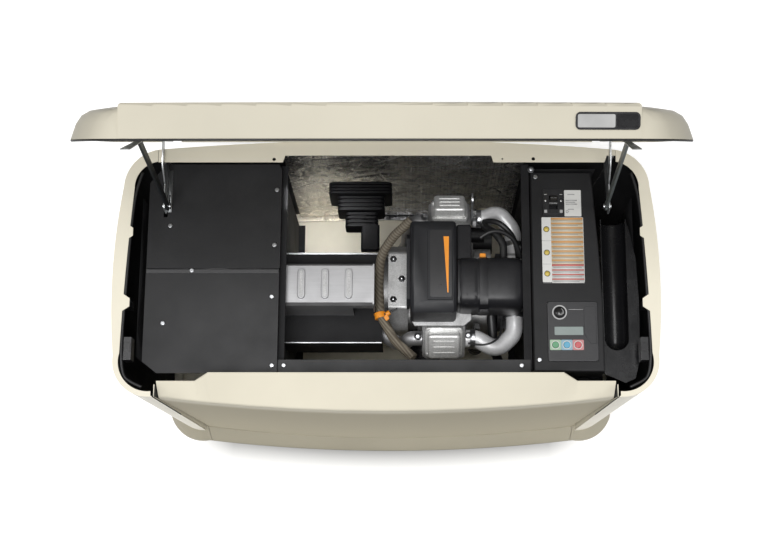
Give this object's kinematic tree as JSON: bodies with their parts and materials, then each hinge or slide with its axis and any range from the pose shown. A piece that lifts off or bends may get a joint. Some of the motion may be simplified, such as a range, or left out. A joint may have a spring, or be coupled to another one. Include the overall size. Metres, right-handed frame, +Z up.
{
  "type": "home standby generator",
  "caption": "Enclosed home standby generator with a hinged lid held open by two stays, lift-off front panel, V-twin engine on an alternator, exhaust bay and control bay.",
  "frame": {"origin": "centre of the base rails' underside, on the ground", "axes": "+X to the right seen from the front, +Y to the rear hinge side, +Z up"},
  "size_m": [1.2162, 0.68, 1.2915],
  "materials": {
    "black_sheet": "fine-texture matt black powder coat",
    "tan_floor": "tan coated floor",
    "galvanised": "hot-dip galvanised, light spangle",
    "khaki_skirt": "moulded base skirt, fine grain",
    "bisque_paint": "bisque powder coat, satin with fine orange peel",
    "foil_blanket": "quilted aluminised insulation with scrim grid",
    "aluminised": "aluminised steel sheet, slightly brushed",
    "cast_alloy": "sand-cast aluminium",
    "bright_alloy": "die-cast aluminium, tumbled",
    "zinc": "bright zinc plate",
    "engine_plastic": "grained charcoal plastic",
    "air_plastic": "satin black plastic",
    "filter_paper": "pleated filter paper",
    "satin_tube": "satin aluminised tube",
    "black_rubber": "rubber",
    "filter_can": "gloss painted can",
    "dipstick_plastic": "moulded grip",
    "forged_steel": "ground steel",
    "cast_iron": "cast iron",
    "lamination": "varnished laminations",
    "battery_case": "polypropylene case",
    "panel_plastic": "grained dark grey plastic",
    "controller_plastic": "satin black plastic",
    "green_button": "moulded button",
    "blue_button": "moulded button",
    "red_button": "moulded button",
    "breaker_toggle": "black toggle",
    "gloss_black": "gloss black moulding",
    "loom_sleeve": "corrugated sleeve with braid",
    "bellows_rubber": "black bellows",
    "badge_plate": "silver and black plate in a black frame",
    "stay_black": "black coated bar",
    "stay_grey": "grey coated bar",
    "lock_black": "black lock"
  },
  "bodies": {
    "cabinet": {"base_tray": "tan_floor", "base_rails": "galvanised", "base_skirt_sides": "khaki_skirt", "base_skirt_ends": "khaki_skirt", "end_panel_left": "bisque_paint", "end_panel_right": "bisque_paint", "rear_panel": "bisque_paint", "rear_insulation": "foil_blanket", "bulkheads": "black_sheet", "exhaust_cover_rear": "black_sheet", "exhaust_cover_front": "black_sheet", "muffler": "aluminised", "exhaust_pipes": "aluminised", "heat_shield": "aluminised", "crankcase": "cast_alloy", "cylinders": "cast_alloy", "cylinder_heads": "cast_alloy", "valve_covers": "bright_alloy", "lift_eye": "zinc", "engine_cover": "engine_plastic", "air_cleaner": "air_plastic", "air_cleaner_strap": "air_plastic", "air_filter": "filter_paper", "intake_pipes": "satin_tube", "mixer_body": "cast_alloy", "fuel_regulator": "cast_alloy", "hoses": "black_rubber", "oil_filter": "filter_can", "stator_core": "lamination", "alternator_housing": "cast_alloy", "alternator_shroud": "black_sheet", "starter_motor": "black_sheet", "rubber_mounts": "black_rubber", "battery": "battery_case", "control_panel": "panel_plastic", "controller": "controller_plastic", "breaker_body": "controller_plastic", "cable_trough": "gloss_black", "wiring_loom": "loom_sleeve", "intake_bellows": "bellows_rubber", "front_crossbar": "black_sheet", "hinge_brackets": "galvanised", "hinge_pins": "zinc", "screws": "zinc"},
    "lid": {"lid_shell": "bisque_paint", "lid_badge": "badge_plate", "lid_brackets": "galvanised"},
    "front_panel": {"front_panel": "bisque_paint"},
    "stay_left": {"stay_left": "stay_black"},
    "stay_right": {"stay_right": "stay_grey"},
    "crankshaft": {"crankshaft": "forged_steel", "flywheel_fan": "cast_iron", "rotor_core": "lamination"},
    "dipstick": {"dipstick": "dipstick_plastic"},
    "lock_left": {"lock_left": "lock_black"},
    "lock_right": {"lock_right": "lock_black"},
    "button_green": {"button_green": "green_button"},
    "button_blue": {"button_blue": "blue_button"},
    "button_red": {"button_red": "red_button"},
    "breaker_handle": {"breaker_handle": "breaker_toggle"}
  },
  "joints": [
    {"name": "lid_hinge", "type": "hinge", "parent": "cabinet", "child": "lid", "pos_m": [0, 0.3, 0.6796], "axis": [-1, 0, 0], "range_deg": [-71.35, 0]},
    {"name": "stay_left_pivot", "type": "hinge", "parent": "cabinet", "child": "stay_left", "pos_m": [-0.4955, 0.153, 0.626], "axis": [-1, 0, 0], "range_deg": [-85.6, 0]},
    {"name": "stay_right_pivot", "type": "hinge", "parent": "cabinet", "child": "stay_right", "pos_m": [0.4955, 0.153, 0.626], "axis": [-1, 0, 0], "range_deg": [-85.6, 0]},
    {"name": "front_panel_lift", "type": "slide", "parent": "cabinet", "child": "front_panel", "axis": [0, 0, 1], "range_m": [0, 0.06]},
    {"name": "crank_spin", "type": "hinge", "parent": "cabinet", "child": "crankshaft", "pos_m": [0, 0.028, 0.3], "axis": [1, 0, 0], "continuous": true},
    {"name": "dipstick_pull", "type": "slide", "parent": "cabinet", "child": "dipstick", "axis": [0, 0, 1], "range_m": [0, 0.06]},
    {"name": "lock_left_turn", "type": "hinge", "parent": "cabinet", "child": "lock_left", "pos_m": [-0.59, -0.07, 0.585], "axis": [-1, 0, 0], "range_deg": [0, 90]},
    {"name": "lock_right_turn", "type": "hinge", "parent": "cabinet", "child": "lock_right", "pos_m": [0.59, -0.07, 0.585], "axis": [1, 0, 0], "range_deg": [0, 90]},
    {"name": "button_green_press", "type": "slide", "parent": "cabinet", "child": "button_green", "axis": [0, 0, -1], "range_m": [0, 0.002], "stiffness_N_per_m": 600, "springref_m": -0.0005},
    {"name": "button_blue_press", "type": "slide", "parent": "cabinet", "child": "button_blue", "axis": [0, 0, -1], "range_m": [0, 0.002], "stiffness_N_per_m": 600, "springref_m": -0.0005},
    {"name": "button_red_press", "type": "slide", "parent": "cabinet", "child": "button_red", "axis": [0, 0, -1], "range_m": [0, 0.002], "stiffness_N_per_m": 600, "springref_m": -0.0005},
    {"name": "breaker_toggle", "type": "hinge", "parent": "cabinet", "child": "breaker_handle", "pos_m": [0.376, 0.162, 0.621], "axis": [1, 0, 0], "range_deg": [0, 56]}
  ],
  "couplings": [
    {"joint": "stay_left_pivot", "follows": "lid_hinge", "ratio": 1.1989},
    {"joint": "stay_right_pivot", "follows": "lid_hinge", "ratio": 1.1989}
  ]
}
